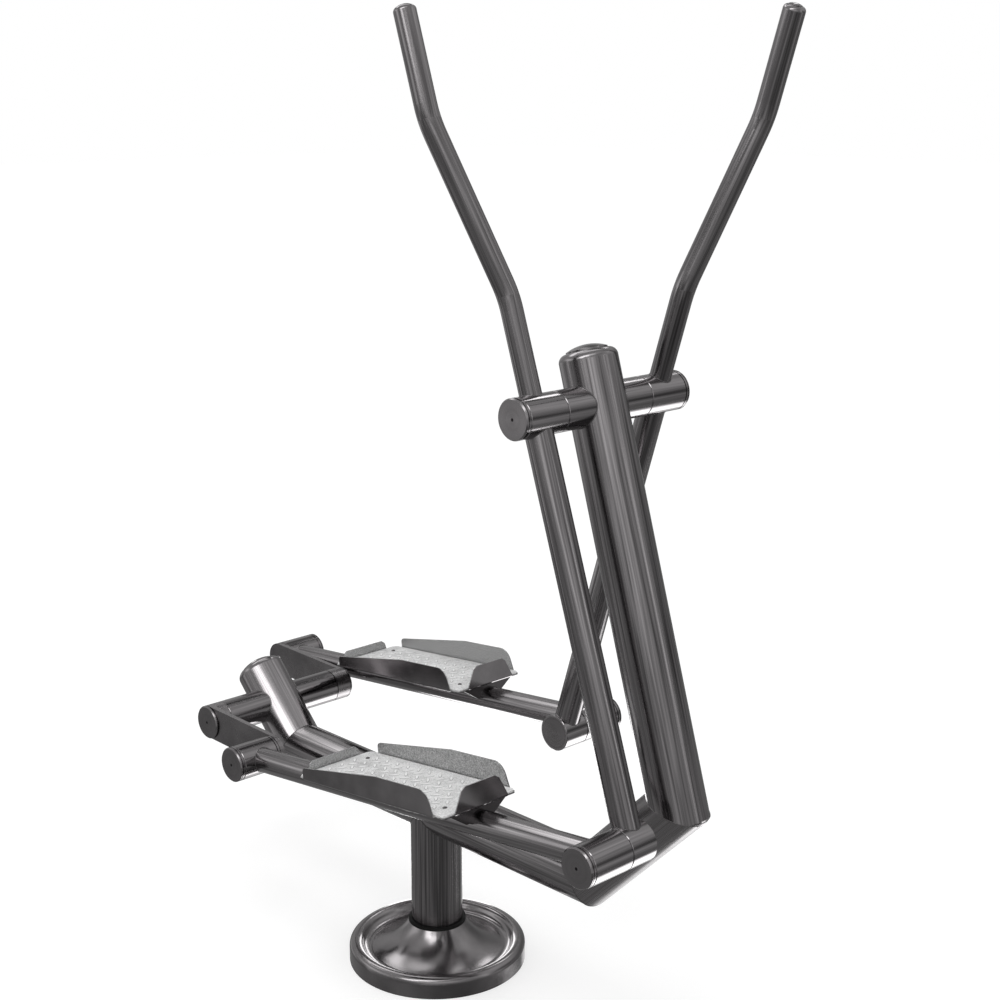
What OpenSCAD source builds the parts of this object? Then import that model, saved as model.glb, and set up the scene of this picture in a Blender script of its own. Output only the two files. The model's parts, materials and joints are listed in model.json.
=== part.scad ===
// Outdoor cross trainer: a bent tubular frame on a ground post, two swinging levers with
// handles, two pedal arms with foot trays, and a crank that ties the arms together.
// X points forward, Y to the user's left, Z up. The origin is on the post's axis at the ground.

/* [Main frame tubes] */
// Outside diameter of the post, beam, elbow, column and rear stub
main_od = 101.6; // [88.9:0.1:114.3]
// Wall of the main frame tubes
main_wall = 3; // [2.5:0.5:5]
// Height of the beam's axis above the ground
beam_height = 320; // [280:5:380]
// Post axis to the front mitre, along the beam
front_reach = 418; // [360:1:480]
// Post axis to the rear mitre, along the beam
rear_reach = 439; // [380:1:500]
// Rise of the front elbow above the level beam, in degrees
elbow_rise = 45; // [40:1:50]
// Length of the front elbow between its two mitres
elbow_len = 280; // [250:1:310]
// Lean of the column towards the user, off the vertical, in degrees
column_lean = 16.6; // [12:0.1:20]
// Upper mitre to the lever pivot, along the column
pivot_station = 692; // [650:0.5:740]
// Lever pivot to the end of the column's straight wall
column_over = 76.5; // [60:0.5:100]
// Rise of the rear stub, rearward off the level, in degrees
stub_rise = 45; // [40:1:50]
// Rear mitre to the crank axis, along the stub
crank_station = 111.5; // [105:0.5:125]
// Crank axis to the end of the stub's straight wall
stub_over = 77; // [60:0.5:95]
// Crown radius of the domed tube ends
dome_crown = 80; // [70:1:100]
// Knuckle radius of the domed tube ends
dome_knuckle = 15; // [12:1:20]

/* [Base] */
// Diameter of the ground flange under the cover
flange_d = 300; // [280:1:320]
// Thickness of the ground flange
flange_t = 12; // [10:1:16]
// Edge of the ground flange to the centre of an anchor hole
anchor_edge = 25; // [20:1:40]
// Diameter of an anchor hole
anchor_hole = 18; // [14:1:22]
// Number of anchor holes
anchor_count = 4; // [3:1:6]
// Edge of the ground flange to the outer end of a gusset
gusset_setback = 51; // [45:1:70]
// Height of a gusset up the post
gusset_height = 44; // [30:1:50]
// Thickness of a gusset
gusset_t = 8; // [5:1:12]
// Width by which the round cover stands out past the ground flange
cover_margin = 26; // [22:1:40]
// Sheet thickness of the round cover
cover_wall = 2; // [1.5:0.5:3]
// Radius of the rolled rim of the cover
bead_r = 14; // [12:0.5:16]
// Height of the rolled rim's centre
bead_z = 28; // [25:1:31]
// Lowest height of the dished top inside the rim
dish_z = 24; // [22:1:28]
// Radius of the hollow between the rim and the dished top
dish_round = 16; // [12:1:18]
// Height of the cover's collar at the post
collar_z = 79; // [74:1:82]
// Radius of the cover's collar
collar_r = 57; // [56:0.5:60]
// Slope of the dished top where it meets the post, in degrees from level
collar_slope = 58; // [54:1:62]
// Height of the rubber seal above the collar
seal_h = 5; // [3:0.5:8]
// Depth of the seal's lip inside the collar
seal_lip = 8; // [5:0.5:12]
// Gap between the seal's lip and the collar
seal_gap = 0.3; // [0.2:0.1:0.6]

/* [Pivots] */
// Outside diameter of every pivot sleeve, the cross tube and the crank housing
sleeve_od = 70; // [66:0.5:76]
// Wall of the pivot sleeves
sleeve_wall = 4; // [3:0.5:5]
// Chamfer round the ends of the sleeves
sleeve_chamfer = 1; // [0.5:0.1:1.5]
// Length of a turning sleeve
sleeve_len = 86; // [82:1:92]
// Diameter of the axles that the sleeves turn on
axle_d = 30; // [25:1:35]
// Seam between a turning sleeve and its neighbour
seam_gap = 1; // [0.5:0.1:1.5]
// Radial clearance of a bearing on its axle
running_gap = 0.05; // [0.02:0.01:0.08]
// Width of a bearing
bearing_w = 16; // [12:1:18]
// Thickness of a bearing's inner and outer races
race_t = 5; // [3:0.5:6]
// Depth of the shields between a bearing's races
shield_depth = 1; // [0.5:0.5:2]
// Depth of a bearing below the end of its sleeve
bearing_inset = 2; // [1:0.5:4]
// Last bearing to the outer end of its sleeve
bearing_outset = 16; // [15:0.5:20]
// Thickness of the washer that keeps a sleeve on its axle
keeper_t = 4; // [3:0.5:5]
// Diameter of that washer
keeper_d = 42; // [38:1:46]
// Free play between that washer and the bearing
keeper_play = 0.3; // [0.2:0.1:0.5]
// Shank diameter of the axle bolt
bolt_d = 10; // [8:1:12]
// Depth of the axle bolt's hole
bolt_depth = 24; // [18:1:30]
// Width of the axle bolt's head across its flats
bolt_flats = 17; // [13:1:19]
// Height of the axle bolt's head
bolt_head = 5; // [4:0.5:5]
// Thickness of an end cap's outer disc
cap_disc = 4; // [3:0.5:5]
// Chamfer round an end cap
cap_chamfer = 2.2; // [1:0.1:2.6]
// Width of the ring behind an end cap's disc
cap_ring = 4; // [3:0.5:6]
// Width of the two grooves round an end cap
cap_groove = 1.5; // [0.5:0.1:2]
// Depth of those grooves
groove_depth = 2; // [1:0.5:3]
// Depth of an end cap's plug inside its sleeve
cap_plug = 4; // [3:0.5:5]
// Diameter of the centre mark turned in an end cap
mark_d = 4; // [2:0.5:6]
// Depth of that centre mark
mark_depth = 1.5; // [0.5:0.5:2]

/* [Levers and handles] */
// Centre plane of the column to the centre of a lever
lever_y = 147.5; // [146:0.5:152]
// Inner end of a lever's hub to the lever's axis
hub_inset = 45; // [42:0.5:48]
// Lever pivot to the pedal pivot, along the lever
lever_len = 713.5; // [690:0.5:735]
// Outside diameter of the lever tube
lever_od = 48.3; // [44:0.1:50]
// Wall of the lever tube
lever_wall = 2.6; // [2:0.1:4]
// Length of the sleeve at the foot of a lever
foot_sleeve_len = 56; // [52:1:60]
// Outside diameter of the handle tube
handle_od = 38.1; // [35:0.1:42.4]
// Wall of the handle tube
handle_wall = 2; // [1.5:0.1:3]
// Lever pivot to the handle's lower bend
handle_low = 197.5; // [170:0.5:230]
// Lower bend to the upper bend
handle_mid = 306.5; // [260:0.5:350]
// Upper bend to the tip of the handle
handle_top = 187.5; // [150:0.5:230]
// Outward bend of the handle, in degrees
handle_bend = 16.7; // [12:0.1:20]
// Bend radius of the handle's centre line
handle_radius = 170; // [140:1:200]
// Crown radius of the domed handle ends
tip_crown = 28; // [26:1:34]
// Knuckle radius of the domed handle ends
tip_knuckle = 8; // [6:0.5:10]

/* [Crank and pedal arms] */
// Radius of the crank, from its axis to a pin
crank_throw = 218; // [205:1:230]
// Angle of the right crank plate at rest, above the level, in degrees
crank_rest = -1; // [-2:0.5:2]
// Thickness of a crank plate
plate_t = 10; // [8:1:12]
// Diameter of the crank pin's riveted end in its plate
rivet_d = 14; // [10:1:18]
// Height of that riveted end above the plate's inner face
rivet_proud = 1.5; // [1:0.5:3]
// Half the length of the crank housing
housing_half = 141; // [135:1:150]
// Rear pin to front pivot, along a pedal arm
arm_len = 947; // [935:1:960]
// Outside diameter of the pedal arm tube
arm_od = 48.3; // [44:0.1:50]
// Wall of the pedal arm tube
arm_wall = 2.6; // [2:0.1:4]
// Inner end of an arm's front sleeve to the arm's axis
arm_inset = 39.5; // [36:0.5:44]

/* [Foot trays] */
// Rear pin to the heel end of the tray, along the arm
tray_start = 260; // [240:1:280]
// Length of the tray
tray_len = 412; // [380:1:430]
// Width of the tray over its side flanges
tray_w = 182; // [170:1:190]
// Sheet thickness of the tray
tray_sheet = 3; // [2:0.5:4]
// Arm axis to the top of the tray's floor
tray_floor = 33.5; // [32:0.5:40]
// Outside bend radius of the tray's flanges
tray_bend = 5; // [4:0.5:8]
// Radius of the floor's open corners, between the flanges
corner_r = 25; // [18:1:30]
// End of a heel or toe flange to the side of the tray
corner_step = 30; // [30:1:40]
// Height of the side flanges at the heel, above the tread
side_heel_h = 19; // [12:1:25]
// Height of the side flanges at the toe, above the tread
side_toe_h = 41; // [32:1:50]
// Heel end of the tray to the place where the side flanges stop rising
side_kink = 237; // [200:1:260]
// Radius at the toe end of the side flanges
side_round = 30; // [20:1:32]
// Forward lean of the side flanges' toe edge, in degrees
side_lean = 18; // [0:1:25]
// Radius at the heel end of the side flanges
heel_round = 8; // [5:1:12]
// Height of the heel flange above the tread
heel_flange_h = 17.5; // [10:0.5:22]
// Height of the toe flange above the tread
toe_flange_h = 40; // [30:0.5:48]
// Distance by which each end of the heel flange slants in over its height
heel_slant = 5; // [0:1:10]
// Distance by which each end of the toe flange slants in over its height
toe_slant = 20; // [10:1:30]
// Cut corners of the heel and toe flanges
flange_corner = 6; // [3:1:9]
// Thickness of the tread plate
tread_t = 3; // [2:0.5:4]
// Gap between the tread plate and the bends of the flanges
tread_gap = 0.5; // [0.5:0.5:2]
// Margin of the tray's floor round the tread plate at the open corners
tread_margin = 2; // [1:0.5:4]
// Centre of the tray to a tread screw, along the arm
screw_run = 168; // [150:1:175]
// Centre line of the tray to a tread screw
screw_side = 52; // [40:1:60]
// Shank diameter of a tread screw
screw_d = 5; // [4:0.5:6]
// Head diameter of a tread screw
screw_head_d = 8.5; // [7.5:0.5:12]
// Head height of a tread screw
screw_head_h = 2; // [1.5:0.1:3]
// Thickness of a saddle plate between the tray and the arm
saddle_t = 5; // [4:0.5:8]
// Width of a saddle plate at the tray
saddle_w = 136; // [100:1:144]
// Width of a saddle plate at the arm
saddle_foot_w = 60; // [52:1:68]
// Arm axis to the lower edge of a saddle plate
saddle_low = 5; // [3:0.5:8]
// Heel and toe ends of the tray to the outer saddle plates
saddle_inset = 10; // [8:1:20]

/* [Hidden] */
// Fineness of round shapes
$fn = 96;
// Length by which cuts pass through what they cut
overrun = 1;
// Share of a mitre's outer corner that is ground away
corner_cut_share = 0.3;

main_r = main_od / 2;
main_ir = main_r - main_wall;
sleeve_r = sleeve_od / 2;
sleeve_ir = sleeve_r - sleeve_wall;
column_dir = 90 + column_lean;
stub_dir = 180 - stub_rise;

// Places in the side view, as [x, z]
front_mitre = [front_reach, beam_height];
rear_mitre = [-rear_reach, beam_height];
upper_mitre = front_mitre + elbow_len * [cos(elbow_rise), sin(elbow_rise)];
lever_pivot = upper_mitre + pivot_station * [cos(column_dir), sin(column_dir)];
crank_axis = rear_mitre + crank_station * [cos(stub_dir), sin(stub_dir)];
column_len = pivot_station + column_over;
stub_len = crank_station + stub_over;
// Longer than any piece, for half spaces that cut mitres
reach = beam_height + front_reach + rear_reach + elbow_len + column_len;

// The crank, the pedal arms and the levers close a four-bar linkage on each side.
// A pin's place follows from the crank's angle, and the pedal pivot from the two lengths.
function pin_at(angle) = crank_axis + crank_throw * [cos(angle), sin(angle)];
function pedal_pivot_of(pin) =
    let (span = norm(lever_pivot - pin))
    let (dir = (lever_pivot - pin) / span)
    let (foot = (arm_len * arm_len - lever_len * lever_len + span * span) / (2 * span))
    let (drop = sqrt(arm_len * arm_len - foot * foot))
    pin + foot * dir + drop * [dir[1], -dir[0]];
function lever_angle(pivot) = atan2(pivot[0] - lever_pivot[0], lever_pivot[1] - pivot[1]);
function arm_slope(pin, pivot) = atan2(pivot[1] - pin[1], pivot[0] - pin[0]);

right_pin = pin_at(crank_rest);
left_pin = pin_at(crank_rest + 180);
right_pedal = pedal_pivot_of(right_pin);
left_pedal = pedal_pivot_of(left_pin);
right_lever_angle = lever_angle(right_pedal);
left_lever_angle = lever_angle(left_pedal);
right_slope = arm_slope(right_pin, right_pedal);
left_slope = arm_slope(left_pin, left_pedal);

// Stations across the machine, on the left side
top_sleeve_y = lever_y - hub_inset;
cross_half = top_sleeve_y - seam_gap;
foot_sleeve_y = lever_y - foot_sleeve_len / 2;
foot_sleeve_end = foot_sleeve_y + foot_sleeve_len;
arm_sleeve_y = foot_sleeve_end + seam_gap;
arm_y = arm_sleeve_y + arm_inset;
arm_sleeve_end = arm_sleeve_y + sleeve_len;
plate_out = arm_sleeve_y;
plate_in = plate_out - plate_t;
hub_in = housing_half + seam_gap;
// The rear sleeves pass outside the caps on the crank shaft
spacer_t = cap_groove + cap_disc;
rear_sleeve_y = plate_out + spacer_t + seam_gap;
rear_sleeve_len = arm_sleeve_end - rear_sleeve_y;
// Outer end of a turning sleeve to the washer's seat on its axle
keeper_seat = -bearing_outset + keeper_play;

// Circle of the anchor holes, length of a gusset along the flange and radius of the cover
anchor_pcd = flange_d - 2 * anchor_edge;
gusset_reach = flange_d / 2 - main_r - gusset_setback;
cover_r = flange_d / 2 + cover_margin;

// Heights and stations of the tray, from the arm's axis and the rear pin
tread_top = tray_floor + tread_t;
tray_under = tray_floor - tray_sheet;
tray_end = tray_start + tray_len;
tray_mid = tray_start + tray_len / 2;
flange_half = tray_w / 2 - corner_step;
side_start = tray_start + corner_r;
side_end = tray_end - corner_r;
kink_at = tray_start + side_kink;

// Placing in the side view

// Local +Z runs from a side-view point at an angle above +X
module along(point, angle) {
    translate([point[0], 0, point[1]]) rotate([0, 90 - angle, 0]) children();
}

// Half space ahead of a mitre plane whose normal has the given angle
module ahead(point, angle) {
    along(point, angle) translate([-reach / 2, -reach / 2, 0]) cube(reach);
}

// Half space behind that plane
module behind(point, angle) {
    along(point, angle) translate([-reach / 2, -reach / 2, -reach]) cube(reach);
}

// Local +Z runs along +Y from a side-view point and a station across the machine
module across(point, y) {
    translate([point[0], y, point[1]]) rotate([-90, 0, 0]) children();
}

// Frame of a lever: origin at the lever pivot, +Z up the handle
module lever_frame(angle) {
    translate([lever_pivot[0], 0, lever_pivot[1]]) rotate([0, -angle, 0]) children();
}

// Frame of a pedal arm: origin at the rear pin, +X along the arm
module arm_frame(pin, slope) {
    translate([pin[0], 0, pin[1]]) rotate([0, -slope, 0]) children();
}

module right_side() {
    mirror([0, 1, 0]) children();
}

// Shared forms

module tube(outer_r, inner_r, length) {
    difference() {
        cylinder(r = outer_r, h = length);
        translate([0, 0, -overrun]) cylinder(r = inner_r, h = length + 2 * overrun);
    }
}

// Pivot sleeve with chamfered ends
module sleeve(length) {
    rotate_extrude() polygon([
        [sleeve_ir, 0],
        [sleeve_r - sleeve_chamfer, 0],
        [sleeve_r, sleeve_chamfer],
        [sleeve_r, length - sleeve_chamfer],
        [sleeve_r - sleeve_chamfer, length],
        [sleeve_ir, length],
    ]);
}

// Outline of a dished head, half section with its axis on Y
module head_outline(radius, crown, knuckle) {
    rise = crown - sqrt(pow(crown - knuckle, 2) - pow(radius - knuckle, 2));
    intersection() {
        translate([0, rise - crown]) circle(crown);
        union() {
            translate([radius - knuckle, 0]) circle(knuckle);
            square([radius - knuckle, crown]);
        }
        square([radius, crown]);
    }
}

// Dished shell that closes a tube, its rim at z = 0
module dished_head(radius, wall, crown, knuckle) {
    rotate_extrude() {
        difference() {
            head_outline(radius, crown, knuckle);
            head_outline(radius - wall, crown - wall, knuckle - wall);
        }
    }
}

// What is ground off the outer corner of a mitre between two directions
module mitre_corner(point, before, after) {
    half = abs(after - before) / 2;
    ground_r = main_r + (main_r / cos(half) - main_r) * (1 - corner_cut_share);
    turn = after > before ? -1 : 1;
    along(point, (before + after) / 2) {
        difference() {
            translate([turn < 0 ? 0 : -main_od, -main_r, -main_r * sin(half)])
                cube([main_od, main_od, 2 * main_r * sin(half)]);
            sphere(r = ground_r);
        }
    }
}

// Sealed bearing in a sleeve, its shields set back between the races
module bearing() {
    bore_r = axle_d / 2 + running_gap;
    rotate_extrude() difference() {
        translate([bore_r, 0]) square([sleeve_ir - bore_r, bearing_w]);
        for (z = [-overrun, bearing_w - shield_depth])
            translate([bore_r + race_t, z])
                square([sleeve_ir - bore_r - 2 * race_t, shield_depth + overrun]);
    }
}

// Two bearings inside a turning sleeve
module bearing_pair(length) {
    translate([0, 0, bearing_inset]) bearing();
    translate([0, 0, length - bearing_outset - bearing_w]) bearing();
}

// Washer and bolt on the end of an axle, the washer's inner face at z = 0
module keeper() {
    tube(keeper_d / 2, bolt_d / 2, keeper_t);
    translate([0, 0, keeper_t]) cylinder(r = bolt_flats / 2 / cos(30), h = bolt_head, $fn = 6);
    translate([0, 0, -bolt_depth]) cylinder(r = bolt_d / 2, h = bolt_depth + keeper_t);
}

// Blind hole for the axle bolt, below z = 0
module bolt_hole() {
    translate([0, 0, -bolt_depth]) cylinder(r = bolt_d / 2, h = bolt_depth + overrun);
}

// Half section of a chamfered disc on a narrower neck, with a turned centre mark
module disc_outline(neck) {
    difference() {
        union() {
            square([sleeve_r - groove_depth, neck]);
            polygon([
                [0, neck],
                [sleeve_r, neck],
                [sleeve_r, neck + cap_disc - cap_chamfer],
                [sleeve_r - cap_chamfer, neck + cap_disc],
                [0, neck + cap_disc],
            ]);
        }
        translate([0, neck + cap_disc - mark_depth]) square([mark_d / 2, mark_depth + overrun]);
    }
}

// End cap on a sleeve's outer end, which is at z = 0
module end_cap() {
    rotate_extrude() {
        translate([0, -cap_plug]) square([sleeve_ir, cap_plug]);
        translate([0, cap_groove]) square([sleeve_r, cap_ring]);
        disc_outline(cap_groove + cap_ring + cap_groove);
    }
}

// Base

module base_flange() {
    color("dimgray") difference() {
        cylinder(r = flange_d / 2, h = flange_t);
        for (i = [0:anchor_count - 1])
            rotate([0, 0, (i + 0.5) * 360 / anchor_count]) translate([anchor_pcd / 2, 0, -overrun])
                cylinder(r = anchor_hole / 2, h = flange_t + 2 * overrun);
    }
}

module base_gussets() {
    color("dimgray") for (i = [0:anchor_count - 1])
        rotate([0, 0, i * 360 / anchor_count]) difference() {
            translate([0, gusset_t / 2, flange_t]) rotate([90, 0, 0]) linear_extrude(gusset_t)
                polygon([
                    [0, 0],
                    [main_r + gusset_reach, 0],
                    [main_r + gusset_reach, gusset_t],
                    [main_r + gusset_t, gusset_height],
                    [0, gusset_height],
                ]);
            cylinder(r = main_r, h = flange_t + gusset_height + overrun);
        }
}

// Half section of the cover's outside, or of its inside when drawn in by a wall
module cover_outline(wall) {
    bead_x = cover_r - bead_r;
    // The hollow's circle touches the rim's circle
    drop = dish_z + dish_round - bead_z;
    hollow_x = bead_x - sqrt(pow(bead_r + dish_round, 2) - drop * drop);
    touch_z = bead_z + (bead_r - wall) * drop / (bead_r + dish_round);
    // The dished top's circle touches the hollow's and ends at the collar at its slope
    run = hollow_x - collar_r;
    rise = collar_z - dish_z - dish_round;
    lean = run * sin(collar_slope) - rise * cos(collar_slope);
    dish_r = (run * run + rise * rise - dish_round * dish_round) / (2 * (lean - dish_round));
    dish_x = collar_r + dish_r * sin(collar_slope);
    dish_top = collar_z + dish_r * cos(collar_slope);
    touch_x = dish_x - (dish_x - hollow_x) * (dish_r + wall) / (dish_r - dish_round);
    translate([bead_x, bead_z]) circle(bead_r - wall);
    translate([bead_x, -overrun]) square([bead_r - wall, bead_z + overrun]);
    difference() {
        translate([touch_x, -overrun]) square([bead_x - touch_x, touch_z + overrun]);
        translate([hollow_x, dish_z + dish_round]) circle(dish_round + wall);
    }
    difference() {
        translate([0, -overrun]) square([touch_x, collar_z + overrun]);
        translate([dish_x, dish_top]) circle(dish_r + wall);
    }
}

module base_cover() {
    color("gray") rotate_extrude() {
        difference() {
            cover_outline(0);
            cover_outline(cover_wall);
            translate([0, -overrun]) square([cover_r + overrun, overrun]);
            translate([0, -overrun])
                square([collar_r - cover_wall, collar_z + 2 * overrun]);
        }
    }
}

module cover_seal() {
    color("black") rotate_extrude() {
        translate([main_r, collar_z]) square([collar_r - main_r, seal_h]);
        translate([main_r, collar_z - seal_lip])
            square([collar_r - cover_wall - seal_gap - main_r, seal_lip]);
    }
}

// Main frame

module post_tube() {
    color("gray") difference() {
        translate([0, 0, flange_t]) tube(main_r, main_ir, beam_height - flange_t);
        along(rear_mitre, 0) cylinder(r = main_r, h = front_reach + rear_reach);
    }
}

module spine_beam() {
    color("gray") difference() {
        along(rear_mitre - [main_od, 0], 0)
            tube(main_r, main_ir, front_reach + rear_reach + 2 * main_od);
        behind(rear_mitre, -stub_rise / 2);
        ahead(front_mitre, elbow_rise / 2);
        mitre_corner(rear_mitre, -stub_rise, 0);
        mitre_corner(front_mitre, 0, elbow_rise);
    }
}

module front_elbow() {
    color("gray") difference() {
        along(front_mitre, elbow_rise) translate([0, 0, -main_od])
            tube(main_r, main_ir, elbow_len + 2 * main_od);
        behind(front_mitre, elbow_rise / 2);
        ahead(upper_mitre, (elbow_rise + column_dir) / 2);
        mitre_corner(front_mitre, 0, elbow_rise);
        mitre_corner(upper_mitre, elbow_rise, column_dir);
    }
}

module column_tube() {
    color("gray") difference() {
        along(upper_mitre, column_dir) translate([0, 0, -main_od])
            tube(main_r, main_ir, column_len + main_od);
        behind(upper_mitre, (elbow_rise + column_dir) / 2);
        mitre_corner(upper_mitre, elbow_rise, column_dir);
        across(lever_pivot, -main_od) cylinder(r = sleeve_r, h = 2 * main_od);
    }
}

module column_cap() {
    color("gray") along(upper_mitre, column_dir) translate([0, 0, column_len])
        dished_head(main_r, main_wall, dome_crown, dome_knuckle);
}

module rear_stub() {
    color("gray") difference() {
        along(rear_mitre, stub_dir) translate([0, 0, -main_od])
            tube(main_r, main_ir, stub_len + main_od);
        ahead(rear_mitre, -stub_rise / 2);
        mitre_corner(rear_mitre, -stub_rise, 0);
        across(crank_axis, -main_od) cylinder(r = sleeve_r, h = 2 * main_od);
    }
}

module rear_stub_cap() {
    color("gray") along(rear_mitre, stub_dir) translate([0, 0, stub_len])
        dished_head(main_r, main_wall, dome_crown, dome_knuckle);
}

// Lever pivot on the column

module top_cross_tube() {
    color("gray") across(lever_pivot, -cross_half) sleeve(2 * cross_half);
}

// End of the top axle, on the left side
top_axle_half = top_sleeve_y + sleeve_len + keeper_seat;

module top_axle() {
    half = top_axle_half;
    color("silver") difference() {
        across(lever_pivot, -half) cylinder(r = axle_d / 2, h = 2 * half);
        across(lever_pivot, half) bolt_hole();
        right_side() across(lever_pivot, half) bolt_hole();
    }
}

module axle_collars() {
    color("silver") for (y = [-cross_half, cross_half - bearing_w])
        across(lever_pivot, y) tube(sleeve_ir, axle_d / 2, bearing_w);
}

module top_axle_keepers() {
    color("silver") {
        across(lever_pivot, top_axle_half) keeper();
        right_side() across(lever_pivot, top_axle_half) keeper();
    }
}

// Crank

module crank_housing() {
    color("gray") across(crank_axis, -housing_half) sleeve(2 * housing_half);
}

module housing_bearings() {
    inner = housing_half - bearing_inset - bearing_w;
    color("silver") {
        across(crank_axis, inner) bearing();
        right_side() across(crank_axis, inner) bearing();
    }
}

module crank_shaft() {
    color("silver") across(crank_axis, -plate_out) cylinder(r = axle_d / 2, h = 2 * plate_out);
}

// Plate with round ends on the shaft and at the pin, and a boss against the housing
module crank_plate(angle) {
    translate([crank_axis[0], 0, crank_axis[1]]) rotate([0, -angle, 0]) difference() {
        union() {
            across([0, 0], hub_in) cylinder(r = sleeve_r, h = plate_in - hub_in);
            across([0, 0], plate_in) linear_extrude(plate_t) {
                circle(sleeve_r);
                translate([crank_throw, 0]) circle(sleeve_r);
                translate([0, -sleeve_r]) square([crank_throw, sleeve_od]);
            }
        }
        across([0, 0], hub_in - overrun)
            cylinder(r = axle_d / 2, h = plate_out - hub_in + 2 * overrun);
        across([crank_throw, 0], plate_in - overrun)
            cylinder(r = rivet_d / 2, h = plate_t + 2 * overrun);
    }
}

module right_crank_plate() {
    color("dimgray") right_side() crank_plate(crank_rest);
}

module left_crank_plate() {
    color("dimgray") crank_plate(crank_rest + 180);
}

module crank_caps() {
    color("gray") {
        across(crank_axis, plate_out) rotate_extrude() disc_outline(cap_groove);
        right_side() across(crank_axis, plate_out) rotate_extrude() disc_outline(cap_groove);
    }
}

// Washer between a crank plate and the pedal arm's rear sleeve, riveted through the plate
module crank_spacer(angle) {
    rivet_len = plate_t + rivet_proud;
    across(pin_at(angle), plate_out) {
        cylinder(r = sleeve_r - groove_depth, h = cap_groove);
        translate([0, 0, cap_groove]) cylinder(r = sleeve_r, h = cap_disc);
        translate([0, 0, -rivet_len]) rotate_extrude() polygon([
            [0, 0],
            [rivet_d / 2 - rivet_proud, 0],
            [rivet_d / 2, rivet_proud],
            [rivet_d / 2, rivet_len],
            [0, rivet_len],
        ]);
    }
}

module crank_spacers() {
    color("gray") {
        crank_spacer(crank_rest + 180);
        right_side() crank_spacer(crank_rest);
    }
}

// Lever with its handle, drawn for the left side in the lever's frame

module lever_hub_form() {
    across([0, 0], top_sleeve_y) sleeve(sleeve_len);
}

module lever_tube_form() {
    difference() {
        translate([0, lever_y, -lever_len])
            tube(lever_od / 2, lever_od / 2 - lever_wall, lever_len);
        across([0, 0], top_sleeve_y) cylinder(r = sleeve_r, h = sleeve_len);
        across([0, -lever_len], foot_sleeve_y) cylinder(r = sleeve_r, h = foot_sleeve_len);
    }
}

// One bend of the handle: starts at the origin along +Z and turns towards +Y
module handle_turn(radius) {
    rotate([90, 0, -90]) translate([-handle_radius, 0, 0])
        rotate_extrude(angle = handle_bend) translate([handle_radius, 0]) circle(radius);
}

// Moves to the end of such a bend
module past_turn() {
    translate([0, handle_radius * (1 - cos(handle_bend)), handle_radius * sin(handle_bend)])
        rotate([-handle_bend, 0, 0]) children();
}

turn_run = handle_radius * tan(handle_bend / 2);
handle_straight = handle_mid - 2 * turn_run;
tip_rise = tip_crown - sqrt(pow(tip_crown - tip_knuckle, 2) - pow(handle_od / 2 - tip_knuckle, 2));
handle_end = handle_top - turn_run - tip_rise;

// Bent rod from the pivot to the end of the straight wall
module handle_rod(radius) {
    translate([0, lever_y, 0]) {
        cylinder(r = radius, h = handle_low - turn_run);
        translate([0, 0, handle_low - turn_run]) {
            handle_turn(radius);
            past_turn() {
                cylinder(r = radius, h = handle_straight);
                translate([0, 0, handle_straight]) rotate([0, 0, 180]) {
                    handle_turn(radius);
                    past_turn() cylinder(r = radius, h = handle_end);
                }
            }
        }
    }
}

module handle_tube_form() {
    difference() {
        handle_rod(handle_od / 2);
        handle_rod(handle_od / 2 - handle_wall);
        across([0, 0], top_sleeve_y) cylinder(r = sleeve_r, h = sleeve_len);
    }
}

module handle_end_form() {
    shift = handle_mid * sin(handle_bend);
    rise = handle_low + handle_mid * cos(handle_bend) + handle_top - tip_rise;
    translate([0, lever_y + shift, rise])
        dished_head(handle_od / 2, handle_wall, tip_crown, tip_knuckle);
}

module hub_bearings_form() {
    across([0, 0], top_sleeve_y) bearing_pair(sleeve_len);
}

module hub_cap_form() {
    across([0, 0], top_sleeve_y + sleeve_len) end_cap();
}

module foot_sleeve_form() {
    across([0, -lever_len], foot_sleeve_y) sleeve(foot_sleeve_len);
}

// Turned pin: two collars welded in the lever's foot sleeve and a journal for the arm
module pedal_pin_form() {
    seat = arm_sleeve_end + keeper_seat;
    difference() {
        union() {
            for (y = [foot_sleeve_y, foot_sleeve_end - bearing_w])
                across([0, -lever_len], y) cylinder(r = sleeve_ir, h = bearing_w);
            across([0, -lever_len], foot_sleeve_y)
                cylinder(r = axle_d / 2, h = seat - foot_sleeve_y);
        }
        across([0, -lever_len], seat) bolt_hole();
    }
}

module pedal_keeper_form() {
    across([0, -lever_len], arm_sleeve_end + keeper_seat) keeper();
}

module right_lever_hub() {
    color("gray") right_side() lever_frame(right_lever_angle) lever_hub_form();
}

module right_hub_bearings() {
    color("silver") right_side() lever_frame(right_lever_angle) hub_bearings_form();
}

module right_hub_cap() {
    color("gray") right_side() lever_frame(right_lever_angle) hub_cap_form();
}

module right_lever_tube() {
    color("gray") right_side() lever_frame(right_lever_angle) lever_tube_form();
}

module right_handle_tube() {
    color("gray") right_side() lever_frame(right_lever_angle) handle_tube_form();
}

module right_handle_end() {
    color("gray") right_side() lever_frame(right_lever_angle) handle_end_form();
}

module right_foot_sleeve() {
    color("gray") right_side() lever_frame(right_lever_angle) foot_sleeve_form();
}

module right_pedal_pin() {
    color("silver") right_side() lever_frame(right_lever_angle) pedal_pin_form();
}

module right_pedal_keeper() {
    color("silver") right_side() lever_frame(right_lever_angle) pedal_keeper_form();
}

module left_lever_hub() {
    color("gray") lever_frame(left_lever_angle) lever_hub_form();
}

module left_hub_bearings() {
    color("silver") lever_frame(left_lever_angle) hub_bearings_form();
}

module left_hub_cap() {
    color("gray") lever_frame(left_lever_angle) hub_cap_form();
}

module left_lever_tube() {
    color("gray") lever_frame(left_lever_angle) lever_tube_form();
}

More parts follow.
